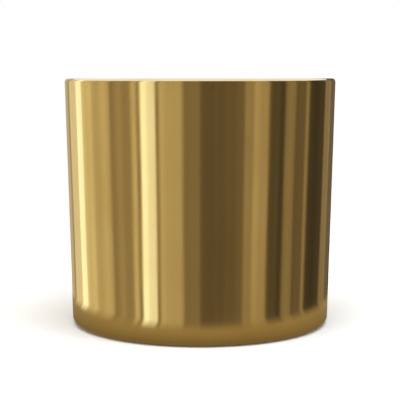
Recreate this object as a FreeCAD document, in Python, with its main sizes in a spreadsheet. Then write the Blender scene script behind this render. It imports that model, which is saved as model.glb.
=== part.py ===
"""Brass planter pot: a spun brass shell with a wired rim, four felt pads under
its base, and a moulded liner that lifts out.

Units are millimetres and degrees. +Z points up and the pot's axis is the Z axis.
The origin is on that axis, on the surface that the pads stand on.
"""
import FreeCAD, Part
import math
import os
import Sketcher

os.makedirs("parts", exist_ok=True)
doc = FreeCAD.newDocument("planter_pot")


# ---------------------------------------------------------------- driving sizes

SIZES = [
    # brass shell
    ("rim_diameter", 220.0, "outside of the rolled rim"),
    ("base_diameter", 210.6, "outside, where wall and foot would meet in a point"),
    ("pot_height", 200.0, "standing surface to top of rim"),
    ("sheet_thickness", 1.0, "brass sheet"),
    ("corner_radius", 5.0, "outside bend between wall and foot"),
    ("foot_ring_width", 7.0, "flat of the foot ring"),
    ("panel_rise", 2.0, "foot ring up to base panel"),
    ("panel_slope_run", 3.0, "slope between them, across"),
    ("bend_radius", 1.5, "inside of the bends at the ends of that slope"),
    # wired edge
    ("wire_diameter", 3.5, "steel wire in the rim"),
    ("wire_clearance", 0.1, "wire to the brass rolled round it"),
    ("wire_butt_angle", 0.4, "gap where the wire's ends meet, degrees"),
    ("curl_sweep", 300.0, "turn of the sheet round the wire, degrees"),
    # felt pads
    ("pad_diameter", 22.0, "felt pad"),
    ("pad_thickness", 3.0, "felt pad"),
    ("pad_inset", 3.0, "edge of base panel to pad"),
    ("pad_first_angle", 45.0, "first pad, from +X, degrees"),
    # liner
    ("liner_drop", 14.0, "top of rim down to top of liner"),
    ("liner_clearance", 2.0, "liner's lip to the rolled rim, all round"),
    ("liner_wall", 1.6, "side wall and lip"),
    ("liner_floor", 2.0, "floor"),
    ("lip_width", 7.0, "outside of wall to outside of skirt"),
    ("lip_skirt", 7.0, "top of lip to bottom of skirt"),
    ("lip_edge_radius", 1.2, "rounding along the top of the lip"),
    ("shoulder_drop", 34.0, "top of liner down to stacking shoulder"),
    ("shoulder_step", 1.5, "wall steps out by this at the shoulder"),
    ("shoulder_rise", 2.5, "height of that step"),
    ("finger_hole_length", 52.0, "hole to lift it by, end to end"),
    ("finger_hole_height", 16.0, "hole to lift it by"),
    ("finger_hole_drop", 20.5, "top of liner down to middle of hole"),
    ("liner_seat_inset", 2.5, "edge of base panel to liner's foot"),
    ("liner_foot_width", 2.2, "foot ring"),
    ("liner_foot_height", 3.0, "base panel up to underside of floor"),
    ("liner_corner_radius", 4.0, "inside, between floor and wall"),
    ("slot_width", 3.5, "drain slot"),
    ("slot_length", 20.0, "drain slot, end to end"),
    ("slot_inset", 9.0, "foot ring to outer end of slot"),
    ("slot_count", 12, "drain slots"),
    ("notch_width", 12.0, "water notch in the foot ring"),
    ("notch_height", 2.0, "water notch in the foot ring"),
    ("notch_count", 6, "water notches"),
]
PAD_COUNT = 4

sheet = doc.addObject("Spreadsheet::Sheet", "dim")
for row, (alias, size, meaning) in enumerate(SIZES, start=1):
    sheet.set(f"A{row}", alias)
    sheet.set(f"B{row}", str(size))
    sheet.set(f"C{row}", meaning)
    sheet.setAlias(f"B{row}", alias)
doc.recompute()


# ---------------------------------------------------------------- sizes that follow

# Rolled rim: a ring of round section, centred this far out and this high.
WIRE_SPACE = "(dim.wire_diameter / 2 + dim.wire_clearance)"
BEAD_RADIUS = f"({WIRE_SPACE} + dim.sheet_thickness)"
BEAD_OUT = f"(dim.rim_diameter / 2 - {BEAD_RADIUS})"
BEAD_UP = f"(dim.pot_height - {BEAD_RADIUS})"

# Base, from the outside of the foot ring inwards.
FOOT_UP = "(dim.pad_thickness - dim.panel_rise)"
FOOT_OUT = "(dim.base_diameter / 2)"
RING_OUT = f"({FOOT_OUT} - dim.corner_radius - dim.foot_ring_width)"
PANEL_OUT = f"({RING_OUT} - dim.panel_slope_run)"
PAD_OUT = f"({PANEL_OUT} - dim.pad_inset - dim.pad_diameter / 2)"

# Liner: it stands on the base panel and its lip clears the rolled rim.
SEAT_UP = "(dim.pad_thickness + dim.sheet_thickness)"
LINER_UNDER_UP = f"({SEAT_UP} + dim.liner_foot_height)"
LINER_FLOOR_UP = f"({LINER_UNDER_UP} + dim.liner_floor)"
LINER_TOP_UP = "(dim.pot_height - dim.liner_drop)"
LIP_UNDER_UP = f"({LINER_TOP_UP} - dim.liner_wall)"
LIP_OUT = f"({BEAD_OUT} - {BEAD_RADIUS} - dim.liner_clearance)"
LINER_WALL_OUT = f"({LIP_OUT} - dim.lip_width)"
LINER_FOOT_OUT = f"({PANEL_OUT} - dim.liner_seat_inset)"
LINER_FOOT_IN = f"({LINER_FOOT_OUT} - dim.liner_foot_width)"

# The wall leans the same above and below the shoulder.
LINER_LEAN = (
    f"(({LINER_WALL_OUT} - dim.shoulder_step - {LINER_FOOT_OUT})"
    f" / ({LINER_TOP_UP} - {SEAT_UP}))"
)
SHOULDER_UP = f"({LINER_TOP_UP} - dim.shoulder_drop)"
BELOW_SHOULDER_UP = f"({SHOULDER_UP} - dim.shoulder_rise)"
BELOW_SHOULDER_OUT = (
    f"({LINER_FOOT_OUT} + {LINER_LEAN} * ({BELOW_SHOULDER_UP} - {SEAT_UP}))"
)
SHOULDER_OUT = (
    f"({LINER_FOOT_OUT} + dim.shoulder_step + {LINER_LEAN} * ({SHOULDER_UP} - {SEAT_UP}))"
)
SLOT_INNER_END = f"({LINER_FOOT_IN} - dim.slot_inset - dim.slot_length)"


# ---------------------------------------------------------------- tools

AXIS = "0"
NEAR = 0.01


class Guess(str):
    """A formula for where a coordinate starts, before the constraints settle it."""


def value(formula):
    """The number that a formula gives with the sheet as it stands."""
    return float(sheet.evalExpression(formula))


def new_body(label):
    body = doc.addObject("PartDesign::Body", label)
    body.Label = label
    return body


def origin_feature(body, role):
    for feature in body.Origin.OriginFeatures:
        if feature.Role == role:
            return feature
    raise RuntimeError(f"{body.Name} has no {role}")


def new_sketch(body, name, plane, raised="0", shifted="0"):
    """A sketch on one of the body's own origin planes, or parallel to it.

    raised is how far off the plane it lies, and shifted how far up along its Y axis.
    """
    sketch = body.newObject("Sketcher::SketchObject", name)
    sketch.AttachmentSupport = (origin_feature(body, plane), [""])
    sketch.MapMode = "FlatFace"
    sketch.setExpression("AttachmentOffset.Base.z", raised)
    sketch.setExpression("AttachmentOffset.Base.y", shifted)
    return sketch


def constrain(sketch, kind, *places):
    sketch.addConstraint(Sketcher.Constraint(kind, *places))


def dimension(sketch, kind, *places_and_formula):
    """Add a dimension and bind it to a formula on the sheet."""
    *places, formula = places_and_formula
    index = sketch.addConstraint(Sketcher.Constraint(kind, *places, value(formula)))
    sketch.setExpression(f"Constraints[{index}]", formula)


def draw_outline(sketch, corners, closed=True):
    """Draw straight lines from corner to corner, each an (out, up) pair of formulas.

    Corners in a row that share a formula are joined by a vertical or horizontal
    line, so each size is dimensioned once. A Guess isn't dimensioned.
    """
    points = [FreeCAD.Vector(value(out), value(up), 0) for out, up in corners]
    ends = points[1:] + points[:1] if closed else points[1:]
    for start, end in zip(points, ends):
        sketch.addGeometry(Part.LineSegment(start, end), False)
    for line in range(1, len(ends)):
        constrain(sketch, "Coincident", line - 1, 2, line, 1)
    if closed:
        constrain(sketch, "Coincident", len(ends) - 1, 2, 0, 1)

    last_out, last_up = None, None
    for index, (out, up) in enumerate(corners):
        corner = (index, 1) if index < len(ends) else (index - 1, 2)
        if out == last_out:
            constrain(sketch, "Vertical", index - 1)
        elif out == AXIS:
            constrain(sketch, "PointOnObject", *corner, -2)
        elif not isinstance(out, Guess):
            dimension(sketch, "DistanceX", -1, 1, *corner, out)
        if up == last_up:
            constrain(sketch, "Horizontal", index - 1)
        elif not isinstance(up, Guess):
            dimension(sketch, "DistanceY", -1, 1, *corner, up)
        last_out, last_up = out, up


def draw_curl(sketch, out, up, inner, outer, sweep):
    """Draw a strip bent round a centre, from level with it; return its two arcs."""
    centre = FreeCAD.Vector(value(out), value(up), 0)
    end_angle = math.radians(value(sweep))
    toward_end = FreeCAD.Vector(math.cos(end_angle), math.sin(end_angle), 0)
    radii = (value(inner), value(outer))
    arcs = []
    for radius in radii:
        circle = Part.Circle(centre, FreeCAD.Vector(0, 0, 1), radius)
        arcs.append(sketch.addGeometry(Part.ArcOfCircle(circle, 0, end_angle), False))
    edge = Part.LineSegment(centre + toward_end * radii[0], centre + toward_end * radii[1])
    end_line = sketch.addGeometry(edge, False)
    inner_arc, outer_arc = arcs
    constrain(sketch, "Coincident", inner_arc, 3, outer_arc, 3)
    constrain(sketch, "Coincident", inner_arc, 2, end_line, 1)
    constrain(sketch, "Coincident", outer_arc, 2, end_line, 2)
    constrain(sketch, "PointOnObject", inner_arc, 3, end_line)
    dimension(sketch, "DistanceX", -1, 1, inner_arc, 3, out)
    dimension(sketch, "DistanceY", -1, 1, inner_arc, 3, up)
    dimension(sketch, "Radius", inner_arc, inner)
    dimension(sketch, "Radius", outer_arc, outer)
    dimension(sketch, "Angle", end_line, sweep)
    return inner_arc, outer_arc


def draw_slot(sketch, start, length, width):
    """Draw a round-ended slot along the sketch's X axis, from start outwards."""
    radius = value(f"({width}) / 2")
    near = FreeCAD.Vector(value(start) + radius, 0, 0)
    far = FreeCAD.Vector(value(f"{start} + {length}") - radius, 0, 0)
    across = FreeCAD.Vector(0, radius, 0)
    normal = FreeCAD.Vector(0, 0, 1)
    quarter = math.pi / 2
    near_arc = Part.ArcOfCircle(Part.Circle(near, normal, radius), quarter, 3 * quarter)
    far_arc = Part.ArcOfCircle(Part.Circle(far, normal, radius), -quarter, quarter)
    sketch.addGeometry(near_arc, False)
    sketch.addGeometry(Part.LineSegment(near - across, far - across), False)
    sketch.addGeometry(far_arc, False)
    sketch.addGeometry(Part.LineSegment(far + across, near + across), False)
    for index in range(4):
        constrain(sketch, "Tangent", index, 2, (index + 1) % 4, 1)
    constrain(sketch, "Equal", 0, 2)
    constrain(sketch, "PointOnObject", 0, 3, -1)
    constrain(sketch, "PointOnObject", 2, 3, -1)
    dimension(sketch, "Radius", 0, f"{width} / 2")
    dimension(sketch, "DistanceX", -1, 1, 0, 3, f"{start} + {width} / 2")
    dimension(sketch, "DistanceX", 0, 3, 2, 3, f"{length} - {width}")


def revolve(body, name, sketch):
    """Turn a section once round the pot's axis."""
    turned = body.newObject("PartDesign::Revolution", name)
    turned.Profile = sketch
    turned.ReferenceAxis = (sketch, ["V_Axis"])
    turned.Angle = 360
    doc.recompute()
    return turned


def ring_edge(feature, out, up):
    """The feature's edge that circles the axis at this height, nearest this radius."""
    radius = value(out)
    height = value(up)
    rings = []
    for index, edge in enumerate(feature.Shape.Edges, start=1):
        level = isinstance(edge.Curve, Part.Circle) and abs(edge.Curve.Center.z - height) < NEAR
        if level:
            rings.append((abs(edge.Curve.Radius - radius), f"Edge{index}"))
    miss, name = min(rings)
    if miss > value("dim.sheet_thickness") / 2:
        raise RuntimeError(f"{feature.Name} has no edge at radius {radius}, height {height}")
    return name


def fillet(body, name, feature, edges, radius):
    rounded = body.newObject("PartDesign::Fillet", name)
    rounded.Base = (feature, edges)
    rounded.setExpression("Radius", radius)
    doc.recompute()
    return rounded


def pocket_round(body, name, sketch, depth, count, reverse=False):
    """Cut a pocket against the sketch's normal, and repeat it round the pot's axis."""
    pocket = body.newObject("PartDesign::Pocket", name)
    pocket.Profile = sketch
    pocket.setExpression("Length", depth)
    pocket.Reversed = reverse
    doc.recompute()
    before = pocket.BaseFeature.Shape.Volume
    if pocket.Shape.Volume > before - 1:
        raise RuntimeError(f"{name} cuts nothing")
    ring = body.newObject("PartDesign::PolarPattern", name + "Ring")
    ring.Originals = [pocket]
    ring.Axis = (origin_feature(body, "Z_Axis"), [""])
    ring.Angle = 360
    ring.setExpression("Occurrences", count)
    body.Tip = ring
    doc.recompute()


# ---------------------------------------------------------------- brass shell


def make_pot_shell():
    """One sheet of brass: panelled base, tapered wall, and a rim rolled inwards."""
    body = new_body("pot_shell")

    # The sheet's section, with its bends still sharp and its edge rolled over.
    section = new_sketch(body, "SheetSection", "XZ_Plane")
    thickness = "dim.sheet_thickness"
    panel_under = "dim.pad_thickness"
    panel_top = SEAT_UP
    ring_top = f"({FOOT_UP} + {thickness})"
    slope_shift = f"{thickness} * tan(atan(dim.panel_rise / dim.panel_slope_run) / 2)"
    ring_top_out = f"({RING_OUT} + {slope_shift})"
    panel_top_out = f"({PANEL_OUT} + {slope_shift})"
    wall_in = f"({FOOT_OUT} - {thickness})"
    draw_outline(section, [
        (Guess(f"{BEAD_OUT} + {WIRE_SPACE}"), Guess(BEAD_UP)),
        (Guess(wall_in), ring_top),
        (ring_top_out, ring_top),
        (panel_top_out, panel_top),
        (AXIS, panel_top),
        (AXIS, panel_under),
        (PANEL_OUT, panel_under),
        (RING_OUT, FOOT_UP),
        (FOOT_OUT, FOOT_UP),
        (Guess(f"{BEAD_OUT} + {BEAD_RADIUS}"), Guess(BEAD_UP)),
    ], closed=False)
    wall_inside, wall_outside = 0, 8
    inner_arc, outer_arc = draw_curl(
        section, BEAD_OUT, BEAD_UP, WIRE_SPACE, BEAD_RADIUS, "dim.curl_sweep"
    )
    constrain(section, "Tangent", wall_inside, 1, inner_arc, 1)
    constrain(section, "Tangent", wall_outside, 2, outer_arc, 1)
    constrain(section, "Parallel", wall_inside, wall_outside)
    shell = revolve(body, "SpunSheet", section)

    # The bends: each is rounded on both faces of the sheet, about one centre.
    corner_in = "dim.corner_radius - dim.sheet_thickness"
    bend_out = "dim.bend_radius + dim.sheet_thickness"
    for name, out, up, radius in (
        ("CornerOutside", FOOT_OUT, FOOT_UP, "dim.corner_radius"),
        ("CornerInside", wall_in, ring_top, corner_in),
        ("RingOutside", RING_OUT, FOOT_UP, bend_out),
        ("RingInside", ring_top_out, ring_top, "dim.bend_radius"),
        ("PanelOutside", panel_top_out, panel_top, bend_out),
        ("PanelInside", PANEL_OUT, panel_under, "dim.bend_radius"),
    ):
        shell = fillet(body, name, shell, [ring_edge(shell, out, up)], radius)
    return body


def make_rim_wire():
    """The wire that the rim is rolled round, bent to a ring with butted ends."""
    wire = doc.addObject("Part::Torus", "rim_wire")
    wire.Label = "rim_wire"
    wire.setExpression("Radius1", BEAD_OUT)
    wire.setExpression("Radius2", "dim.wire_diameter / 2")
    wire.setExpression("Angle3", "360 - dim.wire_butt_angle")
    wire.setExpression("Placement.Base.z", BEAD_UP)
    return wire


def make_felt_pad(index):
    """A round felt pad, stuck up into the recess under the base panel."""
    label = f"felt_pad_{index + 1}"
    angle = f"(dim.pad_first_angle + {index} * 360 / {PAD_COUNT})"
    pad = doc.addObject("Part::Cylinder", label)
    pad.Label = label
    pad.setExpression("Radius", "dim.pad_diameter / 2")
    pad.setExpression("Height", "dim.pad_thickness")
    pad.setExpression("Placement.Base.x", f"{PAD_OUT} * cos({angle})")
    pad.setExpression("Placement.Base.y", f"{PAD_OUT} * sin({angle})")
    return pad


# ---------------------------------------------------------------- liner


def make_liner():
    """A moulded cup with a skirted lip, a stacking shoulder and a drained floor."""
    body = new_body("liner")
    wall = "dim.liner_wall"
    skirt_up = f"({LINER_TOP_UP} - dim.lip_skirt)"

    section = new_sketch(body, "WallSection", "XZ_Plane")
    floor_edge_out = f"({LINER_FOOT_OUT} + {LINER_LEAN} * ({LINER_FLOOR_UP} - {SEAT_UP}) - {wall})"
    draw_outline(section, [
        (AXIS, LINER_UNDER_UP),
        (LINER_FOOT_IN, LINER_UNDER_UP),
        (LINER_FOOT_IN, SEAT_UP),
        (LINER_FOOT_OUT, SEAT_UP),
        (BELOW_SHOULDER_OUT, BELOW_SHOULDER_UP),
        (SHOULDER_OUT, SHOULDER_UP),
        (LINER_WALL_OUT, LIP_UNDER_UP),
        (f"({LIP_OUT} - {wall})", LIP_UNDER_UP),
        (f"({LIP_OUT} - {wall})", skirt_up),
        (LIP_OUT, skirt_up),
        (LIP_OUT, LINER_TOP_UP),
        (f"({LINER_WALL_OUT} - {wall})", LINER_TOP_UP),
        (f"({SHOULDER_OUT} - {wall})", SHOULDER_UP),
        (f"({BELOW_SHOULDER_OUT} - {wall})", BELOW_SHOULDER_UP),
        (floor_edge_out, LINER_FLOOR_UP),
        (AXIS, LINER_FLOOR_UP),
    ])
    cup = revolve(body, "MouldedCup", section)

    corner = ring_edge(cup, floor_edge_out, LINER_FLOOR_UP)
    cup = fillet(body, "FloorCorner", cup, [corner], "dim.liner_corner_radius")
    lip = ring_edge(cup, LIP_OUT, LINER_TOP_UP)
    fillet(body, "LipEdge", cup, [lip], "dim.lip_edge_radius")

    slot = new_sketch(body, "DrainSlot", "XY_Plane", LINER_FLOOR_UP)
    draw_slot(slot, SLOT_INNER_END, "dim.slot_length", "dim.slot_width")
    pocket_round(body, "DrainCut", slot, "dim.liner_floor", "dim.slot_count")

    # The notch is cut right through the foot ring, from well inside it to well outside.
    notch = new_sketch(body, "WaterNotch", "XY_Plane", SEAT_UP)
    inside = f"({LINER_FOOT_IN} - dim.liner_foot_width)"
    outside = f"({LINER_FOOT_OUT} + dim.liner_foot_width)"
    low = "(-dim.notch_width / 2)"
    high = "(dim.notch_width / 2)"
    draw_outline(notch, [(inside, low), (outside, low), (outside, high), (inside, high)])
    pocket_round(body, "NotchCut", notch, "dim.notch_height", "dim.notch_count", reverse=True)

    # Finger holes, cut from outside the wall into the hollow, one each side.
    middle_up = f"({LINER_TOP_UP} - dim.finger_hole_drop)"
    hole = new_sketch(body, "FingerHole", "YZ_Plane", raised=LIP_OUT, shifted=middle_up)
    length = "dim.finger_hole_length"
    draw_slot(hole, f"(-{length} / 2)", length, "dim.finger_hole_height")
    into_hollow = f"({LIP_OUT} - {LINER_WALL_OUT} / 2)"
    pocket_round(body, "FingerCut", hole, into_hollow, "2")
    return body


# ---------------------------------------------------------------- build and check

nodes = [make_pot_shell(), make_rim_wire()]
nodes += [make_felt_pad(index) for index in range(PAD_COUNT)]
nodes.append(make_liner())
doc.recompute()

for item in doc.Objects:
    if "Invalid" in item.State or "Error" in item.State:
        raise RuntimeError(f"{item.Name} did not compute: {item.State}")
    if item.TypeId == "Sketcher::SketchObject" and not item.FullyConstrained:
        raise RuntimeError(f"{item.Name} is not fully constrained")
for node in nodes:
    if node.Shape.isNull() or not node.Shape.isValid() or len(node.Shape.Solids) != 1:
        raise RuntimeError(f"{node.Label} is not one valid solid")

for node in nodes:
    node.Shape.exportStep(f"parts/{node.Label}.step")
    box = node.Shape.optimalBoundingBox()
    print(
        f"{node.Label}: {node.Shape.Volume / 1000:.2f} cm3, across {box.XLength:.2f},"
        f" from {box.ZMin:.2f} up to {box.ZMax:.2f}, {len(node.Shape.Faces)} faces"
    )
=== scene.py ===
"""Brass planter pot: the finished pieces of the pot and its lift-out liner, and the stage they stand on.

Lengths are metres. +Z points up, the pot's axis is the Z axis, and the pads stand at Z = 0.
A bearing is an angle round that axis in degrees: 0 is the front, -Y, and positive is to the right, +X.
"""
import math
from typing import NamedTuple

import bmesh
import bpy
import numpy as np
from bpy.props import FloatProperty, FloatVectorProperty, IntProperty, PointerProperty
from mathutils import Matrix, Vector


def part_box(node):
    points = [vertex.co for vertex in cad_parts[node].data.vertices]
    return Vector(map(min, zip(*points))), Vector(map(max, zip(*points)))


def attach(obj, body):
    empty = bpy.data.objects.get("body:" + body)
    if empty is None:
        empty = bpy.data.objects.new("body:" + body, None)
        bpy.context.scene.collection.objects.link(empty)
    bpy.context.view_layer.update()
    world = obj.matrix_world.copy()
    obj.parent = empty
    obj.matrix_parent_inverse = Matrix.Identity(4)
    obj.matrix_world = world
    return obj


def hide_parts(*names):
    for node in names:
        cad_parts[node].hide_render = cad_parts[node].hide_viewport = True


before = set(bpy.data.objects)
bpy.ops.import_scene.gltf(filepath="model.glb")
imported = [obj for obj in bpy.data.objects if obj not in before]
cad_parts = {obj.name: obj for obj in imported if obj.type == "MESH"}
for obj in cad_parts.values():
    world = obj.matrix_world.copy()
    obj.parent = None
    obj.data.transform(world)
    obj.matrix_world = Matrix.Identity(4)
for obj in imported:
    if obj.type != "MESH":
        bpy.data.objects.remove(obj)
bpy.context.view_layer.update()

bl_info = {
    "name": "Brass Planter Pot",
    "version": (1, 0, 0),
    "blender": (4, 5, 0),
    "location": "View3D > Sidebar > Planter",
    "description": "Builds the finished pieces of a brass planter pot with a lift-out liner",
    "category": "Add Mesh",
}

MM = 0.001
TURN = 2 * math.pi
FELT_SEED = 11
TENT_SEED = 5


# ---------------------------------------------------------------- sizes that the frame gives

SHELL_LOW, SHELL_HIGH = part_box("pot_shell")
WIRE_LOW, WIRE_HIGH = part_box("rim_wire")
LINER_LOW, LINER_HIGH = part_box("liner")
PAD_LOW, PAD_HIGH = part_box("felt_pad_1")
PAD_NODES = sorted(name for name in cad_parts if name.startswith("felt_pad_"))

BEAD_UP = (WIRE_HIGH.z + WIRE_LOW.z) / 2
BEAD_RADIUS = SHELL_HIGH.z - BEAD_UP
BEAD_OUT = SHELL_HIGH.x - BEAD_RADIUS
PANEL_UNDER = PAD_HIGH.z
PANEL_TOP = LINER_LOW.z
SHEET = PANEL_TOP - PANEL_UNDER


# ---------------------------------------------------------------- settings


def size(name, default, description):
    """A length that a user may change."""
    return FloatProperty(name=name, description=description, default=default, min=0.0, unit="LENGTH")


def share(name, default, description):
    """A number from 0 to 1 that a user may change."""
    return FloatProperty(
        name=name, description=description, default=default, min=0.0, max=1.0, subtype="FACTOR"
    )


def colour(name, default, description):
    """A linear colour that a user may change."""
    return FloatVectorProperty(
        name=name, description=description, default=default, min=0.0, size=3, subtype="COLOR"
    )


def count(name, default, description):
    """A whole number that a user may change."""
    return IntProperty(name=name, description=description, default=default, min=1)


class PLANTER_PG_shell(bpy.types.PropertyGroup):
    """The spun brass shell."""

    foot_radius: size("Foot Radius", 105.3 * MM, "Where the wall's outside would meet the foot in a point")
    corner_bend: size("Corner Bend", 5.0 * MM, "Outside radius of the bend between wall and foot")
    ring_width: size("Foot Ring Width", 7.0 * MM, "Flat of the ring under the wall")
    slope_run: size("Slope Run", 3.0 * MM, "Distance across from foot ring to base panel")
    small_bend: size("Small Bend", 1.5 * MM, "Inside radius of the bends beside the base panel")
    curl_turn: FloatProperty(
        name="Curl Turn",
        description="How far round the wire the sheet is rolled",
        default=math.radians(300),
        subtype="ANGLE",
    )
    waviness: size("Waviness", 0.07 * MM, "How far the spun wall strays from a true cone")
    segments: count("Segments", 384, "Steps round the pot")
    brass: colour("Brass", (0.88, 0.71, 0.31), "Clean polished brass")
    tarnish: colour("Tarnish", (0.60, 0.36, 0.12), "Brass that has begun to tarnish")
    # Used along the rim's crown: worn brass and a painted highlight together.
    worn: colour("Worn Brass", (0.88, 0.75, 0.50), "Paler brass where hands have worn the rim")
    polish: share("Polish Roughness", 0.09, "Roughness of the polished outside")
    satin: share("Satin Roughness", 0.30, "Roughness of the inside, which is left as spun")


class PLANTER_PG_wire(bpy.types.PropertyGroup):
    """The steel wire in the rolled rim."""

    steel: colour("Steel", (0.50, 0.49, 0.47), "Drawn steel wire")
    roughness: share("Roughness", 0.34, "Roughness of the drawn surface")


class PLANTER_PG_felt(bpy.types.PropertyGroup):
    """The felt pads under the base."""

    edge_round: size("Edge Rounding", 0.8 * MM, "How far the cut edge has softened")
    fuzz: size("Fuzz", 0.16 * MM, "How unevenly the cut edge is drawn in")
    segments: count("Segments", 120, "Steps round a pad")
    felt: colour("Felt", (0.075, 0.062, 0.052), "Pressed wool felt")
    fleck: colour("Fleck", (0.16, 0.14, 0.12), "Paler fibres in the felt")


class PLANTER_PG_liner(bpy.types.PropertyGroup):
    """The moulded plastic liner."""

    wall: size("Wall", 1.6 * MM, "Thickness of the side wall and lip")
    floor: size("Floor", 2.0 * MM, "Thickness of the floor")
    foot_radius: size("Foot Radius", 87.8 * MM, "Outside of the foot ring")
    foot_width: size("Foot Width", 2.2 * MM, "Width of the foot ring")
    foot_height: size("Foot Height", 3.0 * MM, "Foot ring to underside of floor")
    floor_bend: size("Floor Bend", 4.0 * MM, "Inside radius between floor and wall")
    lip_width: size("Lip Width", 7.0 * MM, "Outside of the wall to outside of the skirt")
    lip_skirt: size("Lip Skirt", 7.0 * MM, "Top of the lip to bottom of the skirt")
    lip_round: size("Lip Rounding", 1.2 * MM, "Rounding along the top of the lip")
    shoulder_drop: size("Shoulder Drop", 34.0 * MM, "Top of the liner down to the stacking shoulder")
    shoulder_step: size("Shoulder Step", 1.5 * MM, "How far the wall steps out at the shoulder")
    shoulder_rise: size("Shoulder Rise", 2.5 * MM, "Height of that step")
    hole_length: size("Finger Hole Length", 52.0 * MM, "Hole to lift the liner by, end to end")
    hole_height: size("Finger Hole Height", 16.0 * MM, "Height of that hole")
    hole_drop: size("Finger Hole Drop", 20.5 * MM, "Top of the liner down to the middle of the hole")
    slot_width: size("Slot Width", 3.5 * MM, "Width of a drain slot")
    slot_length: size("Slot Length", 20.0 * MM, "Length of a drain slot, end to end")
    slot_inset: size("Slot Inset", 9.0 * MM, "Foot ring to the outer end of a slot")
    slot_count: count("Slots", 12, "Drain slots")
    notch_width: size("Notch Width", 12.0 * MM, "Width of a water notch in the foot ring")
    notch_height: size("Notch Height", 2.0 * MM, "Height of a water notch")
    notch_count: count("Notches", 6, "Water notches in the foot ring")
    gate_recess: size("Gate Recess", 5.0 * MM, "Radius of the recess under the floor, where it was filled")
    gate_depth: size("Gate Depth", 0.6 * MM, "Depth of that recess")
    gate_stub: size("Gate Stub", 1.2 * MM, "Radius of the stub left in it")
    edge_round: size("Edge Rounding", 0.5 * MM, "Rounding along the moulded edges")
    segments: count("Segments", 288, "Steps round the liner")
    plastic: colour("Plastic", (0.022, 0.022, 0.023), "Black moulded plastic")
    scuff: colour("Scuff", (0.042, 0.042, 0.043), "Where the plastic has been rubbed")
    gloss: share("Roughness", 0.42, "Roughness of the moulded surface")


class PLANTER_PG_stage(bpy.types.PropertyGroup):
    """The floor, the lamps, the glowing tent of plain cards that the metal mirrors, painted with light and
    shade instead of being lit, and the camera.
    """

    floor: colour("Floor", (0.86, 0.86, 0.85), "Pale floor")
    floor_size: size("Floor Size", 12.0, "Floor from side to side")
    fade_start: size("Fade Start", 0.35, "Where the floor begins to pass into the white beyond it")
    fade_end: size("Fade End", 0.85, "Where it has passed into the white")
    lamp_power: FloatProperty(
        name="Lamp Power", description="Power of the large overhead lamp", default=26.0, unit="POWER"
    )
    side_power: FloatProperty(
        name="Side Power", description="Power of each lamp at the sides", default=4.0, unit="POWER"
    )
    ambient: share("Ambient", 0.55, "Strength of the light from all round")
    tent_radius: size("Tent Radius", 180.0 * MM, "Ring of cards round the pot")
    tent_height: size("Tent Height", 250.0 * MM, "Top of the cards")
    card_count: count("Cards", 34, "Cards round the tent, of uneven widths")
    light_bearing: FloatProperty(
        name="Light Bearing", description="Side that the lighter cards are on",
        default=math.radians(-90), subtype="ANGLE",
    )
    # Painted light: the glowing cards are lighter on the light side and darker across from it.
    light_side: share("Light Side", 0.62, "Tone of the cards on that side, from dark to white")
    shade_side: share("Shade Side", 0.12, "Tone of the cards across from it")
    contrast: share("Contrast", 0.7, "How much a card's tone strays from its neighbours'")
    strip_count: count("Strip Lights", 6, "Strip lights, evenly round the tent from the light side on")
    strip_width: FloatProperty(
        name="Strip Width", description="Width of a strip light", default=math.radians(10), subtype="ANGLE"
    )
    strip_strength: FloatProperty(
        name="Strip Strength", description="Tone of a strip light for how far it faces the light side",
        default=1.3, min=0.0,
    )
    soft_edge: FloatProperty(
        name="Soft Edge", description="Width of the passage from card to card, and beside a strip light",
        default=math.radians(2), subtype="ANGLE",
    )
    # The folds are painted light and shade on the glowing cards, not shapes.
    folds: share("Folds", 0.25, "How much a card's tone varies across it")
    broad_folds: count("Broad Folds", 45, "Broad folds round the tent")
    fine_folds: count("Fine Folds", 120, "Fine folds round the tent")
    sweep: share("Sweep", 0.15, "How much of the tent's radius the cards run in over the mat")
    # Painted shadow of the pot on the glowing mat.
    foot_shade: share("Foot Shade", 0.5, "How much darker the mat is under the pot")
    eye_distance: size("Eye Distance", 0.95, "Camera to the pot's axis")
    lens: FloatProperty(
        name="Lens", description="Focal length on a 36 mm sensor, in millimetres", default=104.0
    )
    mat: colour("Mat", (0.34, 0.25, 0.14), "Tan mat on the floor of the tent")
    white: colour("White", (1.15, 1.15, 1.15), "Lightest cards")
    cream: colour("Cream", (0.70, 0.61, 0.44), "Light cards")
    tan: colour("Tan", (0.45, 0.36, 0.24), "Cards between light and dark")
    brown: colour("Brown", (0.20, 0.15, 0.10), "Dark cards")
    dark: colour("Dark", (0.06, 0.05, 0.04), "Darkest cards, which give the metal its depth")


class PLANTER_PG_pot(bpy.types.PropertyGroup):
    """Every setting of the planter."""

    shell: PointerProperty(type=PLANTER_PG_shell)
    wire: PointerProperty(type=PLANTER_PG_wire)
    felt: PointerProperty(type=PLANTER_PG_felt)
    liner: PointerProperty(type=PLANTER_PG_liner)
    stage: PointerProperty(type=PLANTER_PG_stage)


# ---------------------------------------------------------------- outlines


def arc(centre, radius, start, end, steps):
    """Points along an arc, both ends included; the angles are radians, anticlockwise from +out."""
    angles = [start + (end - start) * step / steps for step in range(steps + 1)]
    return [
        (centre[0] + radius * math.cos(angle), centre[1] + radius * math.sin(angle)) for angle in angles
    ]


def rounded(corners, steps=6):
    """The points of an outline of (out, up, bend radius) corners, with each bend as an arc."""
    nearly_straight = math.radians(89.5)
    points = [corners[0][:2]]
    for before, corner, after in zip(corners, corners[1:], corners[2:]):
        radius = corner[2]
        here = Vector(corner[:2])
        back = (Vector(before[:2]) - here).normalized()
        ahead = (Vector(after[:2]) - here).normalized()
        half = back.angle(ahead) / 2
        if radius == 0 or half > nearly_straight:
            points.append(corner[:2])
            continue
        centre = here + (back + ahead).normalized() * radius / math.sin(half)
        first = here + back * radius / math.tan(half) - centre
        last = here + ahead * radius / math.tan(half) - centre
        start = math.atan2(first.y, first.x)
        turn = (math.atan2(last.y, last.x) - start + math.pi) % TURN - math.pi
        points += arc(centre, radius, start, start + turn, steps)
    points.append(corners[-1][:2])
    return points


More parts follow.
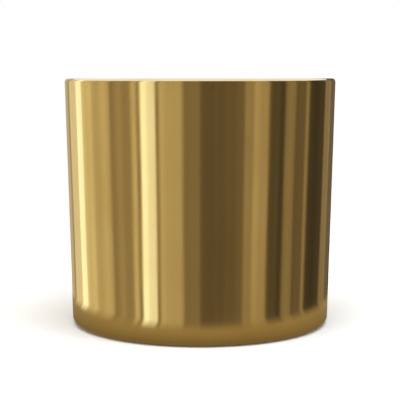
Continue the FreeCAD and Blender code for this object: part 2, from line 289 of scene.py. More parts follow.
def divided(start, end, steps):
    """Points along a straight line, without its ends."""
    return [
        tuple(a + (b - a) * step / steps for a, b in zip(start, end)) for step in range(1, steps)
    ]


def flare(thickness, radius, beyond, steps=4):
    """(depth, widening) down a hole through a sheet, with both of its edges rounded.

    Depth runs from this far beyond one face to this far beyond the other, so that a cutter of
    this form comes right through. The roundings begin just clear of the faces, so that the
    cutter crosses them cleanly.
    """
    clear = 0.02 * MM
    quarter = [step * math.pi / 2 / steps for step in range(1, steps + 1)]
    mouth = [(radius - radius * math.cos(angle), radius - radius * math.sin(angle)) for angle in quarter]
    mouth = [(-beyond, radius), (-clear, radius), *mouth]
    return [*mouth, *((thickness - depth, widening) for depth, widening in reversed(mouth))]


def stadium(length, width, steps=10, side_steps=1):
    """(point, outward direction) round a slot with round ends, centred on the origin."""
    half = (length - width) / 2
    places = []
    for side in (1, -1):
        for step in range(steps + 1):
            angle = side * -math.pi / 2 + math.pi * step / steps
            outward = Vector((math.cos(angle), math.sin(angle)))
            places.append((Vector((side * half, 0)) + outward * width / 2, outward))
        outward = Vector((0, side))
        for point in divided((side * half, side * width / 2), (-side * half, side * width / 2), side_steps):
            places.append((Vector(point), outward))
    return places


# ---------------------------------------------------------------- meshes


def new_piece(name, vertices, faces, materials=(), slots=None):
    """A smooth-shaded object made of these vertices and faces."""
    mesh = bpy.data.meshes.new(name)
    mesh.from_pydata(vertices, [], faces)
    for material in materials:
        mesh.materials.append(material)
    if slots is not None:
        mesh.polygons.foreach_set("material_index", slots)
    mesh.shade_smooth()
    mesh.update()
    piece = bpy.data.objects.new(name, mesh)
    bpy.context.scene.collection.objects.link(piece)
    return piece


def spin(name, outline, segments, materials=(), zones=None, stray=None):
    """Turn an outline once round the axis that it starts and ends on, its outside to its right.

    zones gives the material of each line of the outline, and stray(angles, outs, ups) how far each
    point strays outwards from a true round. The angles are radians, anticlockwise from +X.
    """
    rings = np.array(outline[1:-1])
    turned = np.arange(segments) * TURN / segments
    outs = np.repeat(rings[:, :1], segments, axis=1)
    ups = np.repeat(rings[:, 1:], segments, axis=1)
    angles = np.repeat(turned[None, :], len(rings), axis=0)
    if stray is not None:
        outs = outs + stray(angles, outs, ups)
    places = np.stack([outs * np.cos(angles), outs * np.sin(angles), ups], axis=2).reshape(-1, 3)
    first_pole = len(places)
    vertices = [*map(tuple, places), (0, 0, outline[0][1]), (0, 0, outline[-1][1])]

    faces = []
    slots = []
    zones = zones or [0] * (len(outline) - 1)
    for line in range(len(outline) - 1):
        near, far = (line - 1) * segments, line * segments
        for step in range(segments):
            after = (step + 1) % segments
            if line == 0:
                faces.append((first_pole, after, step))
            elif line == len(outline) - 2:
                faces.append((near + step, near + after, first_pole + 1))
            else:
                faces.append((near + step, near + after, far + after, far + step))
            slots.append(zones[line])
    return new_piece(name, vertices, faces, materials, slots)


def loft(loops):
    """(vertices, faces) of a closed form through loops that all have the same number of points."""
    size_of_loop = len(loops[0])
    vertices = [tuple(point) for loop in loops for point in loop]
    faces = [tuple(range(size_of_loop))]
    for index in range(len(loops) - 1):
        low, high = index * size_of_loop, (index + 1) * size_of_loop
        for step in range(size_of_loop):
            after = (step + 1) % size_of_loop
            faces.append((low + step, high + step, high + after, low + after))
    faces.append(tuple(reversed(range(len(vertices) - size_of_loop, len(vertices)))))
    return vertices, faces


def cut(piece, cutters):
    """Cut lofted forms out of a piece, and keep the result as its mesh."""
    vertices = []
    faces = []
    for corners, sides in cutters:
        faces += [tuple(corner + len(vertices) for corner in side) for side in sides]
        vertices += corners
    tool = new_piece("cutter", vertices, faces)
    tool_mesh = tool.data
    fix_normals(tool_mesh)
    boolean = piece.modifiers.new("Cuts", "BOOLEAN")
    boolean.operation = "DIFFERENCE"
    boolean.solver = "EXACT"
    boolean.object = tool
    keep_modified(piece)
    bpy.data.objects.remove(tool)
    bpy.data.meshes.remove(tool_mesh)
    clean_seams(piece.data)


def keep_modified(piece):
    """Make what the piece's modifiers give its own mesh."""
    before = piece.data
    graph = bpy.context.evaluated_depsgraph_get()
    piece.data = bpy.data.meshes.new_from_object(piece.evaluated_get(graph))
    piece.modifiers.clear()
    bpy.data.meshes.remove(before)
    piece.data.name = piece.name


def fix_normals(mesh):
    """Make every face point outwards."""
    work = bmesh.new()
    work.from_mesh(mesh)
    bmesh.ops.recalc_face_normals(work, faces=work.faces)
    work.to_mesh(mesh)
    work.free()


def clean_seams(mesh, reach=0.01 * MM):
    """Join the corners that a cut leaves closer together than this."""
    work = bmesh.new()
    work.from_mesh(mesh)
    bmesh.ops.remove_doubles(work, verts=work.verts, dist=reach)
    bmesh.ops.dissolve_degenerate(work, edges=work.edges, dist=reach / 10)
    work.to_mesh(mesh)
    work.free()


def crease(piece, angle=math.radians(32)):
    """Keep edges sharper than this angle crisp, and all the others smooth."""
    piece.data.set_sharp_from_angle(angle=angle)


def shade_flat_faces_first(piece):
    """Let the broad faces beside an edge keep their own shading right up to it."""
    shading = piece.modifiers.new("Flat Faces First", "WEIGHTED_NORMAL")
    shading.keep_sharp = True
    keep_modified(piece)


# ---------------------------------------------------------------- material tools


def node(tree, kind, inputs=None, **settings):
    """A node with these settings, and with its inputs set to values or linked to outputs."""
    made = tree.nodes.new(kind)
    for name, value in settings.items():
        setattr(made, name, value)
    for name, value in (inputs or {}).items():
        if isinstance(value, bpy.types.NodeSocket):
            tree.links.new(value, made.inputs[name])
        else:
            made.inputs[name].default_value = value
    return made


def new_material(name):
    """An empty material, its node tree and its output node."""
    material = bpy.data.materials.new(name)
    material.use_nodes = True
    tree = material.node_tree
    tree.nodes.clear()
    return material, tree, node(tree, "ShaderNodeOutputMaterial")


def object_place(tree, scale=(1, 1, 1)):
    """The point on the piece, in metres, multiplied by a scale for each axis."""
    place = node(tree, "ShaderNodeTexCoord").outputs["Object"]
    return node(tree, "ShaderNodeMapping", {"Vector": place, "Scale": scale}).outputs["Vector"]


def noise(tree, place, scale, detail=2.0, roughness=0.5):
    """Soft noise from 0 to 1, with this many patches to a metre."""
    inputs = {"Vector": place, "Scale": scale, "Detail": detail, "Roughness": roughness}
    return node(tree, "ShaderNodeTexNoise", inputs).outputs["Fac"]


def between(tree, value, low, high, to_low=0.0, to_high=1.0):
    """Value taken from one range to another, and held inside it."""
    inputs = {"Value": value, "From Min": low, "From Max": high, "To Min": to_low, "To Max": to_high}
    return node(tree, "ShaderNodeMapRange", inputs).outputs["Result"]


def calculate(tree, operation, first, second):
    """One sum on two values."""
    made = node(tree, "ShaderNodeMath", operation=operation)
    for socket, value in zip(made.inputs, (first, second)):
        if isinstance(value, bpy.types.NodeSocket):
            tree.links.new(value, socket)
        else:
            socket.default_value = value
    return made.outputs["Value"]


def blended(tree, factor, first, second):
    """One colour passing into another as the factor goes from 0 to 1."""
    made = node(tree, "ShaderNodeMix", data_type="RGBA")
    tree.links.new(factor, made.inputs["Factor"])
    for socket, value in zip((made.inputs[6], made.inputs[7]), (first, second)):
        if isinstance(value, bpy.types.NodeSocket):
            tree.links.new(value, socket)
        else:
            socket.default_value = (*value, 1)
    return made.outputs[2]


def bump(tree, height, strength, distance, under=None):
    """Surface relief from a height, on top of another relief if there is one."""
    inputs = {"Height": height, "Strength": strength, "Distance": distance}
    if under is not None:
        inputs["Normal"] = under
    return node(tree, "ShaderNodeBump", inputs).outputs["Normal"]


def surface(tree, output, inputs):
    """The material's one shader."""
    shader = node(tree, "ShaderNodeBsdfPrincipled", inputs)
    tree.links.new(shader.outputs["BSDF"], output.inputs["Surface"])


# ---------------------------------------------------------------- materials


def brass_material(name, settings, roughness, haze, lines, tarnish, brushed=0.0):
    """Spun brass: fine turned lines, a haze where it has been wiped, and the first tarnish.

    The turned lines run round the pot's axis, on its wall and on its base alike. brushed is how
    far they draw the shine out across them.
    """
    material, tree, output = new_material(name)
    place = object_place(tree)
    height = node(tree, "ShaderNodeSeparateXYZ", {"Vector": place}).outputs["Z"]
    level = object_place(tree, (1, 1, 0))
    out = node(tree, "ShaderNodeVectorMath", {0: level}, operation="LENGTH").outputs["Value"]
    section = node(tree, "ShaderNodeCombineXYZ", {"X": out, "Y": height}).outputs["Vector"]
    turned = noise(tree, section, scale=1100.0, detail=3.0, roughness=0.6)
    wiped = noise(tree, object_place(tree, (1, 1, 0.45)), scale=26.0, detail=4.0, roughness=0.55)
    freckles = noise(tree, place, scale=300.0, detail=5.0, roughness=0.62)
    foot_band = 9 * MM
    rim_band, full_rim_band = 12 * MM, 5 * MM
    crown_band, full_crown_band = 2.4 * MM, 1.0 * MM
    foot = between(tree, height, SHELL_LOW.z, SHELL_LOW.z + foot_band, 0.5, 0.0)
    rim = between(tree, height, SHELL_HIGH.z - rim_band, SHELL_HIGH.z - full_rim_band, 0.0, 0.35)
    # The crown of the rim is painted paler: partly brass worn by hands, partly a painted highlight along the
    # top of the rolled rim.
    crown = between(tree, height, SHELL_HIGH.z - crown_band, SHELL_HIGH.z - full_crown_band)
    edge = calculate(tree, "SUBTRACT", calculate(tree, "MAXIMUM", foot, rim), crown)
    old = calculate(tree, "MULTIPLY", between(tree, freckles, 0.44, 0.80), edge)
    ringed = noise(tree, section, scale=240.0, detail=2.0, roughness=0.5)
    rings = between(tree, ringed, 0.50, 0.72, 0.0, 0.30 * brushed)
    veil = calculate(tree, "ADD", between(tree, wiped, 0.42, 0.78, 0.0, 0.22), rings)
    aged = calculate(tree, "MULTIPLY", calculate(tree, "MAXIMUM", old, veil), tarnish)
    fresh = blended(tree, crown, settings.brass, settings.worn)
    hazed = between(tree, wiped, 0.38, 0.72, roughness, roughness + haze)
    rubbed = calculate(tree, "ADD", hazed, calculate(tree, "MULTIPLY", old, 0.10))
    inputs = {
        "Base Color": blended(tree, aged, fresh, settings.tarnish),
        "Metallic": 1.0,
        "Roughness": rubbed,
        "Normal": bump(tree, turned, lines, 0.02 * MM),
    }
    if brushed:
        round_axis = node(tree, "ShaderNodeTangent", direction_type="RADIAL", axis="Z").outputs[0]
        inputs |= {"Anisotropic": brushed, "Anisotropic Rotation": 0.25, "Tangent": round_axis}
    surface(tree, output, inputs)
    return material


def steel_material(settings):
    """Drawn steel wire, with fine lines along it and a little dullness."""
    material, tree, output = new_material("drawn_steel")
    lines = noise(tree, object_place(tree, (40, 40, 5200)), scale=1.0, detail=3.0, roughness=0.6)
    dull = noise(tree, object_place(tree), scale=160.0, detail=4.0, roughness=0.6)
    worn = between(tree, dull, 0.35, 0.75)
    surface(tree, output, {
        "Base Color": blended(tree, worn, settings.steel, [part * 0.6 for part in settings.steel]),
        "Metallic": 1.0,
        "Roughness": between(tree, dull, 0.3, 0.7, settings.roughness, settings.roughness + 0.16),
        "Normal": bump(tree, lines, 0.25, 0.03 * MM),
    })
    return material


def felt_material(settings):
    """Pressed wool felt: matted fibres with paler flecks among them."""
    material, tree, output = new_material("pressed_felt")
    place = object_place(tree)
    fibres = node(tree, "ShaderNodeTexVoronoi", {"Vector": place, "Scale": 2600.0}).outputs["Distance"]
    matted = noise(tree, place, scale=1500.0, detail=6.0, roughness=0.7)
    clumps = noise(tree, place, scale=420.0, detail=3.0, roughness=0.6)
    flecks = between(tree, calculate(tree, "MULTIPLY", matted, clumps), 0.28, 0.42)
    relief = bump(tree, fibres, 0.5, 0.12 * MM, bump(tree, matted, 0.6, 0.2 * MM))
    surface(tree, output, {
        "Base Color": blended(tree, flecks, settings.felt, settings.fleck),
        "Roughness": 0.95,
        "Specular IOR Level": 0.2,
        "Sheen Weight": 0.35,
        "Sheen Roughness": 0.6,
        "Normal": relief,
    })
    return material


def plastic_material(settings):
    """Black moulded plastic: a fine spark-eroded grain, faint flow marks and scuffs."""
    material, tree, output = new_material("moulded_plastic")
    place = object_place(tree)
    grain = noise(tree, place, scale=1900.0, detail=3.0, roughness=0.55)
    flow = noise(tree, object_place(tree, (1, 1, 0.25)), scale=34.0, detail=3.0, roughness=0.5)
    scratches = noise(tree, object_place(tree, (1, 1, 0.06)), scale=900.0, detail=2.0, roughness=0.5)
    handled = noise(tree, place, scale=48.0, detail=4.0, roughness=0.6)
    scuffed = calculate(
        tree, "MULTIPLY", between(tree, scratches, 0.62, 0.82), between(tree, handled, 0.50, 0.72)
    )
    surface(tree, output, {
        "Base Color": blended(tree, scuffed, settings.plastic, settings.scuff),
        "Roughness": between(tree, flow, 0.3, 0.7, settings.gloss - 0.05, settings.gloss + 0.08),
        "Specular IOR Level": 0.45,
        "Normal": bump(tree, grain, 0.35, 0.03 * MM, bump(tree, flow, 0.12, 0.2 * MM)),
    })
    return material


# ---------------------------------------------------------------- brass shell


def spun_waves(height, waviness):
    """How far the wall strays outwards: shallow waves and low rings that die out at rim and foot."""
    def stray(angles, outs, ups):
        up = (ups - SHELL_LOW.z) / (height - SHELL_LOW.z)
        fade = np.clip(np.sin(np.pi * np.clip(up, 0, 1)), 0, 1) * (outs > BEAD_OUT - BEAD_RADIUS)
        lobes = (
            np.sin(5 * angles + 2.6 * up + 0.4)
            + 0.7 * np.sin(9 * angles - 5.2 * up + 2.1)
            + 0.5 * np.sin(14 * angles + 8.0 * up + 4.0)
        )
        rings = 0.35 * np.sin(46 * up + 0.8 * np.sin(2 * angles))
        return waviness * fade * (0.45 * lobes + rings)
    return stray


def shell_outline(settings):
    """The sheet's section from under the base, round the rim and back in, and its materials.

    The wall leans so that it runs into the rolled rim without a step.
    """
    foot_up = SHELL_LOW.z
    foot = Vector((settings.foot_radius, foot_up))
    bead = Vector((BEAD_OUT, BEAD_UP))
    reach = bead - foot
    lean = math.atan2(reach.x, reach.y) + math.asin(BEAD_RADIUS / reach.length)
    wall_in = settings.foot_radius - (SHEET - SHEET * math.sin(lean)) / math.cos(lean)

    ring_in = settings.foot_radius - settings.corner_bend - settings.ring_width
    panel_edge = ring_in - settings.slope_run
    slope = math.atan2(PANEL_UNDER - foot_up, settings.slope_run)
    shift = SHEET * math.tan(slope / 2)
    small = settings.small_bend
    large = small + SHEET

    bend_steps = 8
    wall_steps = 48
    curl_steps = 44
    back_steps = 20
    outside_end = bead + Vector((math.cos(-lean), math.sin(-lean))) * BEAD_RADIUS
    curl_inside = BEAD_RADIUS - SHEET
    inside_end = bead + Vector((math.cos(-lean), math.sin(-lean))) * curl_inside
    under = rounded([
        (0, PANEL_UNDER, 0),
        (panel_edge, PANEL_UNDER, small),
        (ring_in, foot_up, large),
        (settings.foot_radius, foot_up, settings.corner_bend),
        (*outside_end, 0),
    ], bend_steps)
    above = rounded([
        (*inside_end, 0),
        (wall_in, foot_up + SHEET, settings.corner_bend - SHEET),
        (ring_in + shift, foot_up + SHEET, small),
        (panel_edge + shift, PANEL_TOP, large),
        (0, PANEL_TOP, 0),
    ], bend_steps)
    outer_wall = divided(under[-2], under[-1], wall_steps)
    inner_wall = divided(above[0], above[1], wall_steps)
    curl = arc(bead, BEAD_RADIUS, -lean, settings.curl_turn, curl_steps)
    back = arc(bead, curl_inside, settings.curl_turn, -lean, back_steps)

    polished, satin, dull = 0, 1, 2
    outline = [*under[:-1], *outer_wall, *curl, *back, *inner_wall, *above[1:]]
    zones = [dull] * (len(under) - 2 - bend_steps)
    zones += [polished] * (bend_steps + wall_steps + curl_steps + 1)
    zones += [satin] * (len(outline) - 1 - len(zones))
    return outline, zones


class PLANTER_OT_shell(bpy.types.Operator):
    """Spin the brass shell: panelled base, tapered wall and rim rolled over the wire"""

    bl_idname = "planter.shell"
    bl_label = "Brass Shell"

    def execute(self, context):
        settings = context.scene.planter_pot.shell
        materials = [
            brass_material(
                "polished_brass", settings, settings.polish, haze=0.07, lines=0.10, tarnish=1.0
            ),
            brass_material(
                "satin_brass", settings, settings.satin, haze=0.12, lines=0.35, tarnish=1.0, brushed=0.5
            ),
            brass_material(
                "dull_brass", settings, settings.satin + 0.04, haze=0.15, lines=0.5, tarnish=1.6, brushed=0.5
            ),
        ]
        outline, zones = shell_outline(settings)
        waves = spun_waves(SHELL_HIGH.z, settings.waviness)
        shell = spin("brass_shell", outline, settings.segments, materials, zones, waves)
        crease(shell)
        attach(shell, "pot")
        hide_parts("pot_shell")
        return {"FINISHED"}


# ---------------------------------------------------------------- rim wire


class PLANTER_OT_wire(bpy.types.Operator):
    """Give the wire in the rolled rim its drawn steel finish"""

    bl_idname = "planter.wire"
    bl_label = "Rim Wire"

    def execute(self, context):
        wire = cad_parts["rim_wire"]
        wire.data.materials.clear()
        wire.data.materials.append(steel_material(context.scene.planter_pot.wire))
        return {"FINISHED"}


# ---------------------------------------------------------------- felt pads


def felt_outline(radius, low, high, edge_round):
    """Half of a pad's section: flat where it rests and is glued, soft at its cut edge."""
    middle = radius / 2
    waist = (radius, (low + high) / 2, 0)
    lower_edge = rounded([(middle, low, 0), (radius, low, edge_round), waist], steps=4)
    upper_edge = rounded([waist, (radius, high, edge_round / 2), (middle, high, 0)], steps=3)
    return [
        (0, low),
        *divided((0, low), (middle, low), steps=4),
        *lower_edge,
        *upper_edge[1:],
        *divided((middle, high), (0, high), steps=4),
        (0, high),
    ]


def uneven_edge(rng, fuzz):
    """A stray for spin(): a cut edge drawn in unevenly, which never stands out of the pad's box."""
    steepness = 8

    def stray(angles, outs, ups):
        loose = rng.random(outs.shape)
        loose = (loose + np.roll(loose, 1, axis=0) + np.roll(loose, 1, axis=1)) / 3
        return -fuzz * loose * (outs / outs.max()) ** steepness
    return stray


class PLANTER_OT_pads(bpy.types.Operator):
    """Press and cut the felt pads under the base"""

    bl_idname = "planter.pads"
    bl_label = "Felt Pads"

    def execute(self, context):
        settings = context.scene.planter_pot.felt
        material = felt_material(settings)
        rng = np.random.default_rng(FELT_SEED)
        for number, name in enumerate(PAD_NODES, start=1):
            low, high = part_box(name)
            middle = (low + high) / 2
            outline = felt_outline((high.x - low.x) / 2, low.z, high.z, settings.edge_round)
            stray = uneven_edge(rng, settings.fuzz)
            pad = spin(f"felt_disc_{number}", outline, settings.segments, [material], stray=stray)
            pad.location = (middle.x, middle.y, 0)
            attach(pad, "pot")
            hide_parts(name)
        return {"FINISHED"}


# ---------------------------------------------------------------- liner


class LinerSizes(NamedTuple):
    """Sizes that follow from the liner's settings."""

    lip_out: float
    wall_out: float
    under: float
    floor: float
    shoulder: tuple
    below_shoulder: tuple
    lean: float


def liner_sizes(settings):
    """The liner's wall leans the same above and below its stacking shoulder."""
    top, seat = LINER_HIGH.z, LINER_LOW.z
    lip_out = LINER_HIGH.x
    wall_out = lip_out - settings.lip_width
    lean = (wall_out - settings.shoulder_step - settings.foot_radius) / (top - seat)
    shoulder_up = top - settings.shoulder_drop
    below_up = shoulder_up - settings.shoulder_rise
    shoulder_out = settings.foot_radius + settings.shoulder_step + lean * (shoulder_up - seat)
    below_out = settings.foot_radius + lean * (below_up - seat)
    under = seat + settings.foot_height
    return LinerSizes(
        lip_out, wall_out, under, under + settings.floor,
        (shoulder_out, shoulder_up), (below_out, below_up), lean,
    )


def liner_outline(settings, sizes):
    """The cup's section, from under its floor, up the wall, over the lip and back down inside."""
    top, seat = LINER_HIGH.z, LINER_LOW.z
    wall, edge = settings.wall, settings.edge_round
    lip_under = top - wall
    skirt = top - settings.lip_skirt
    foot_in = settings.foot_radius - settings.foot_width
    floor_edge = settings.foot_radius + sizes.lean * (sizes.floor - seat) - wall
    gate = settings.gate_depth
    corners = [
        (0, sizes.under + gate / 5, 0),
        (settings.gate_stub, sizes.under + gate / 5, gate / 5),
        (settings.gate_stub, sizes.under + gate, gate / 3),
        (settings.gate_recess, sizes.under + gate, gate / 3),
        (settings.gate_recess, sizes.under, gate / 3),
        (foot_in, sizes.under, edge),
        (foot_in, seat, edge),
        (settings.foot_radius, seat, edge),
        (*sizes.below_shoulder, 2 * edge),
        (*sizes.shoulder, 2 * edge),
        (sizes.wall_out, lip_under, 2 * edge),
        (sizes.lip_out - wall, lip_under, edge),
        (sizes.lip_out - wall, skirt, edge),
        (sizes.lip_out, skirt, edge),
        (sizes.lip_out, top, settings.lip_round),
        (sizes.wall_out - wall, top, 2 * edge),
        (sizes.shoulder[0] - wall, sizes.shoulder[1], 2 * edge),
        (sizes.below_shoulder[0] - wall, sizes.below_shoulder[1], 2 * edge),
        (floor_edge, sizes.floor, settings.floor_bend),
        (0, sizes.floor, 0),
    ]
    return rounded(corners)


def slot_cutters(settings, sizes):
    """Round-ended drain slots through the floor, pointing outwards, with moulded edges."""
    foot_in = settings.foot_radius - settings.foot_width
    middle = foot_in - settings.slot_inset - settings.slot_length / 2
    edge = stadium(settings.slot_length, settings.slot_width)
    for index in range(settings.slot_count):
        angle = index * TURN / settings.slot_count
        along = Vector((math.cos(angle), math.sin(angle), 0))
        across = Vector((-math.sin(angle), math.cos(angle), 0))
        loops = []
        for depth, widening in flare(settings.floor, settings.edge_round, settings.floor):
            up = Vector((0, 0, sizes.floor - depth))
            points = [point + outward * widening for point, outward in edge]
            loops.append([up + along * (middle + point.x) + across * point.y for point in points])
        yield loft(loops)


def notch_cutters(settings):
    """Water notches in the foot ring, with rounded tops."""
    seat = LINER_LOW.z
    half = settings.notch_width / 2
    top = seat + settings.notch_height
    edge = 2 * settings.edge_round
    profile = rounded([
        (-half, seat - edge, 0), (-half, top, edge), (half, top, edge), (half, seat - edge, 0),
    ])
    reach = (settings.foot_radius - 2 * settings.foot_width, settings.foot_radius + settings.foot_width)
    for index in range(settings.notch_count):
        angle = index * TURN / settings.notch_count
        along = Vector((math.cos(angle), math.sin(angle), 0))
        across = Vector((-math.sin(angle), math.cos(angle), 0))
        yield loft([
            [along * out + across * side + Vector((0, 0, up)) for side, up in profile] for out in reach
        ])


def finger_cutters(settings, sizes):
    """The two holes to lift the liner by, square to the curved wall, with moulded edges."""
    middle = LINER_HIGH.z - settings.hole_drop
    shoulder_out, shoulder_up = sizes.shoulder
    edge = stadium(settings.hole_length, settings.hole_height, steps=16, side_steps=18)
    wall_bulge = shoulder_out - math.sqrt(shoulder_out**2 - (settings.hole_length / 2) ** 2)
    for facing in (0, math.pi):
        loops = []
        for depth, widening in flare(settings.wall, settings.edge_round, 2 * wall_bulge):
            loop = []
            for point, outward in edge:
                side, rise = point + outward * widening
                up = middle + rise
                wall_out = shoulder_out + sizes.lean * (up - shoulder_up)
                angle = facing + math.asin(side / wall_out)
                out = wall_out - depth
                loop.append(Vector((out * math.cos(angle), out * math.sin(angle), up)))
            loops.append(loop)
        yield loft(loops)


class PLANTER_OT_liner(bpy.types.Operator):
    """Mould the liner: cup, skirted lip, stacking shoulder, drain slots and finger holes"""

    bl_idname = "planter.liner"
    bl_label = "Liner"

    def execute(self, context):
        settings = context.scene.planter_pot.liner
        sizes = liner_sizes(settings)
        material = plastic_material(settings)
        outline = liner_outline(settings, sizes)
        liner = spin("moulded_liner", outline, settings.segments, [material])
        cutters = [*slot_cutters(settings, sizes), *notch_cutters(settings)]
        cutters += finger_cutters(settings, sizes)
        cut(liner, cutters)
        crease(liner)
        shade_flat_faces_first(liner)
        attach(liner, "liner")
        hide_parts("liner")
        return {"FINISHED"}


# ---------------------------------------------------------------- stage


def new_lamp(name, place, aim, power, across):
    """A square soft lamp that points at a place, and that the metal doesn't show."""
    data = bpy.data.lights.new(name, "AREA")
    data.energy = power
    data.size = across
    lamp = bpy.data.objects.new(name, data)
    lamp.location = place
    lamp.rotation_mode = "QUATERNION"
    lamp.rotation_quaternion = (Vector(aim) - Vector(place)).to_track_quat("-Z", "Y")
    lamp.visible_glossy = False
    bpy.context.scene.collection.objects.link(lamp)


def plain_world(settings):
    """White where it is seen or mirrored, and a softer light on everything else."""
    world = bpy.data.worlds.new("studio")
    world.use_nodes = True
    tree = world.node_tree
    tree.nodes.clear()
    path = node(tree, "ShaderNodeLightPath").outputs
    mirrored = calculate(tree, "MAXIMUM", path["Is Glossy Ray"], path["Is Transmission Ray"])
    seen = calculate(tree, "MAXIMUM", path["Is Camera Ray"], mirrored)
    white = node(tree, "ShaderNodeBackground", {"Color": (1, 1, 1, 1), "Strength": 1.0})
    ambient = node(tree, "ShaderNodeBackground", {"Color": (1, 1, 1, 1), "Strength": settings.ambient})
    mix = node(tree, "ShaderNodeMixShader", {"Fac": seen})
    tree.links.new(ambient.outputs[0], mix.inputs[1])
    tree.links.new(white.outputs[0], mix.inputs[2])
    output = node(tree, "ShaderNodeOutputWorld")
    tree.links.new(mix.outputs[0], output.inputs["Surface"])
    bpy.context.scene.world = world


def pale_floor(settings):
    """A wide pale floor that fades into the white beyond it and keeps the pot's shadow."""
    material, tree, output = new_material("pale_floor")
    place = object_place(tree)
    away = node(tree, "ShaderNodeVectorMath", {0: place}, operation="LENGTH").outputs["Value"]
    far = between(tree, away, settings.fade_start, settings.fade_end)
    seen = node(tree, "ShaderNodeLightPath").outputs["Is Camera Ray"]
    fade = calculate(tree, "MULTIPLY", far, seen)
    paint = node(tree, "ShaderNodeBsdfDiffuse", {"Color": (*settings.floor, 1)})
    white = node(tree, "ShaderNodeEmission", {"Strength": 1.0})
    mix = node(tree, "ShaderNodeMixShader", {"Fac": fade})
    tree.links.new(paint.outputs[0], mix.inputs[1])
    tree.links.new(white.outputs[0], mix.inputs[2])
    tree.links.new(mix.outputs[0], output.inputs["Surface"])
    half = settings.floor_size / 2
    corners = [(-half, -half, 0), (half, -half, 0), (half, half, 0), (-half, half, 0)]
    floor = new_piece("floor", corners, [(0, 1, 2, 3)], [material])


def uneven_parts(rng, number):
    """Where parts of uneven widths start and end round a full turn, in degrees."""
    narrowest, widest = 0.3, 1.7
    widths = rng.uniform(narrowest, widest, number)
    ends = np.cumsum(widths) * 360 / widths.sum()
    return np.concatenate([[0], ends[:-1]]), ends


def fold_shade(rng, bearing, number):
    """From -1 to 1 at each bearing, with this many uneven folds in a turn."""
    places = uneven_parts(rng, number)[1]
    return np.interp(bearing, places, rng.uniform(-1, 1, number), period=360)


def facing_light(settings, bearing):
    """From 0 to 1, how near a bearing is to the side that the light comes from."""
    return 0.5 + 0.5 * np.cos(np.radians(bearing) - settings.light_bearing)


def card_tones(settings, rng, bearing):
    """Tone at each bearing of uneven plain cards, from 0, dark, to 1, white: painted light, lighter the more
    a card faces the light side.
    """
    starts, ends = uneven_parts(rng, settings.card_count)
    lit = facing_light(settings, (starts + ends) / 2)
    tones = settings.shade_side + (settings.light_side - settings.shade_side) * lit
    tones = np.clip(tones + rng.uniform(-0.5, 0.5, settings.card_count) * settings.contrast, 0, 1)
    edge = math.degrees(settings.soft_edge) / 2
    places = np.stack([starts + edge, ends - edge], axis=1).ravel()
    return np.interp(bearing, places, np.repeat(tones, 2), period=360)


def strip_tones(settings, bearing):
    """Tone at each bearing of the evenly spaced strip lights, which are painted glow and no lamps, dimmer
    away from the light side, and 0 between them.
    """
    spacing = 360 / settings.strip_count
    along = bearing - math.degrees(settings.light_bearing)
    aside = np.abs((along + spacing / 2) % spacing - spacing / 2)
    past_edge = (aside - math.degrees(settings.strip_width) / 2) / math.degrees(settings.soft_edge)
    strength = np.clip(settings.strip_strength * facing_light(settings, bearing), 0, 1)
    return strength * np.clip(0.5 - past_edge, 0, 1)


def tent_paint(settings, bearing):
    """The glowing colour of the tent at each bearing: painted light on the side the light comes from,
    painted strip lights, and the painted light and shade of its folds.
    """
    rng = np.random.default_rng(TENT_SEED)
    tone = np.maximum(card_tones(settings, rng, bearing), strip_tones(settings, bearing))
    shades = np.array([settings.dark, settings.brown, settings.tan, settings.cream, settings.white])
    levels = np.linspace(0, 1, len(shades))
    paint = np.stack([np.interp(tone, levels, shade) for shade in shades.T], axis=1)
    # Painted light and shade of folds that the flat tent does not have.
    broad = fold_shade(rng, bearing, settings.broad_folds)
    fine = fold_shade(rng, bearing, settings.fine_folds)
    return paint * (1 + settings.folds * (broad + fine) / 2)[:, None]


def glowing_card_tent(settings):
    """A round tent of plain cards with a mat for its floor, which only shiny surfaces see. The cards and mat
    glow with painted light and shade instead of being lit, so the metal shows painted reflections.
    """
    steps = 720
    under_pot = 0.5
    above_floor = 0.2 * MM
    bearing = np.arange(steps) * 360 / steps
    angles = np.radians(bearing)
    circle = np.stack([np.sin(angles), -np.cos(angles)], axis=1) * settings.tent_radius
    rings = (  # share of the radius, height
        (under_pot, above_floor),
        (1 - settings.sweep, above_floor),
        (1, above_floor),
        (1, settings.tent_height),
    )
    vertices = [(x * reach, y * reach, up) for reach, up in rings for x, y in circle]
    faces = []
    for row in range(0, (len(rings) - 1) * steps, steps):
        for step in range(steps):
            after = (step + 1) % steps
            faces.append((row + step, row + after, row + steps + after, row + steps + step))

    material, tree, output = new_material("card_painted_glow")
    painted = node(tree, "ShaderNodeAttribute", attribute_name="paint").outputs["Color"]
    glow = node(tree, "ShaderNodeEmission", {"Color": painted, "Strength": 1.0})
    tree.links.new(glow.outputs[0], output.inputs["Surface"])
    material.cycles.emission_sampling = "NONE"
    tent = new_piece("glowing_card_tent", vertices, faces, [material])
    wall = tent_paint(settings, bearing)
    mat = np.ones(wall.shape) * np.array(settings.mat)
    # Painted shadow: the glowing mat is darker under the pot, where the pot's shadow would fall.
    paint = np.concatenate([mat * (1 - settings.foot_shade), mat, wall, wall])
    rgba = np.concatenate([paint, np.ones((len(paint), 1))], axis=1)
    layer = tent.data.color_attributes.new("paint", "FLOAT_COLOR", "POINT")
    layer.data.foreach_set("color", rgba.astype(np.float32).ravel())
    only_in_reflections(tent)


def only_in_reflections(piece):
    """Let nothing but shiny surfaces see this."""
    piece.visible_camera = False
    piece.visible_diffuse = False
    piece.visible_transmission = False
    piece.visible_volume_scatter = False
    piece.visible_shadow = False


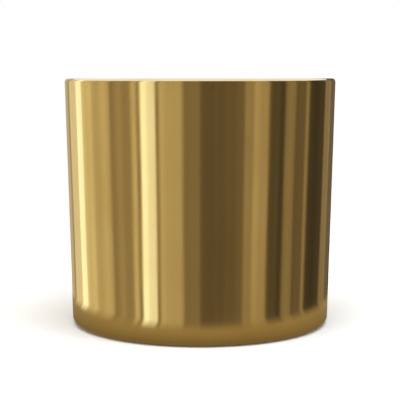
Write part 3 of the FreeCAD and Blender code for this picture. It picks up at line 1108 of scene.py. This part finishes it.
def front_camera(settings):
    """A long lens at the height of the rim, looking down at the middle of the pot."""
    data = bpy.data.cameras.new("camera")
    data.lens = settings.lens
    camera = bpy.data.objects.new("camera", data)
    place = Vector((0, -settings.eye_distance, SHELL_HIGH.z))
    camera.location = place
    camera.rotation_mode = "QUATERNION"
    camera.rotation_quaternion = (Vector((0, 0, SHELL_HIGH.z / 2)) - place).to_track_quat("-Z", "Y")
    bpy.context.scene.collection.objects.link(camera)
    bpy.context.scene.camera = camera


class PLANTER_OT_stage(bpy.types.Operator):
    """Set up the floor, the lamps, the glowing tent of cards and the camera"""

    bl_idname = "planter.stage"
    bl_label = "Stage"

    def execute(self, context):
        settings = context.scene.planter_pot.stage
        middle = (0, 0, SHELL_HIGH.z / 2)
        plain_world(settings)
        pale_floor(settings)
        glowing_card_tent(settings)
        new_lamp("overhead", (0.1, -0.3, 1.5), middle, settings.lamp_power, across=1.4)
        new_lamp("left_fill", (-1.2, -0.8, 0.8), middle, settings.side_power, across=0.8)
        new_lamp("right_fill", (1.2, -0.6, 0.9), middle, settings.side_power, across=0.8)
        front_camera(settings)
        context.scene.view_settings.view_transform = "Standard"
        return {"FINISHED"}


# ---------------------------------------------------------------- panel and main

OPERATORS = (PLANTER_OT_shell, PLANTER_OT_wire, PLANTER_OT_pads, PLANTER_OT_liner, PLANTER_OT_stage)


class PLANTER_PT_parts(bpy.types.Panel):
    """Lists what can be built"""

    bl_idname = "PLANTER_PT_parts"
    bl_label = "Brass Planter Pot"
    bl_space_type = "VIEW_3D"
    bl_region_type = "UI"
    bl_category = "Planter"

    def draw(self, context):
        for operator in OPERATORS:
            self.layout.operator(operator.bl_idname)


CLASSES = (
    PLANTER_PG_shell, PLANTER_PG_wire, PLANTER_PG_felt, PLANTER_PG_liner, PLANTER_PG_stage,
    PLANTER_PG_pot, *OPERATORS, PLANTER_PT_parts,
)


def register():
    for item in CLASSES:
        bpy.utils.register_class(item)
    bpy.types.Scene.planter_pot = PointerProperty(type=PLANTER_PG_pot)


def unregister():
    del bpy.types.Scene.planter_pot
    for item in reversed(CLASSES):
        bpy.utils.unregister_class(item)


def main():
    """Build every piece and the stage."""
    register()
    bpy.ops.planter.shell()
    bpy.ops.planter.wire()
    bpy.ops.planter.pads()
    bpy.ops.planter.liner()
    bpy.ops.planter.stage()


if __name__ == "__main__":
    main()
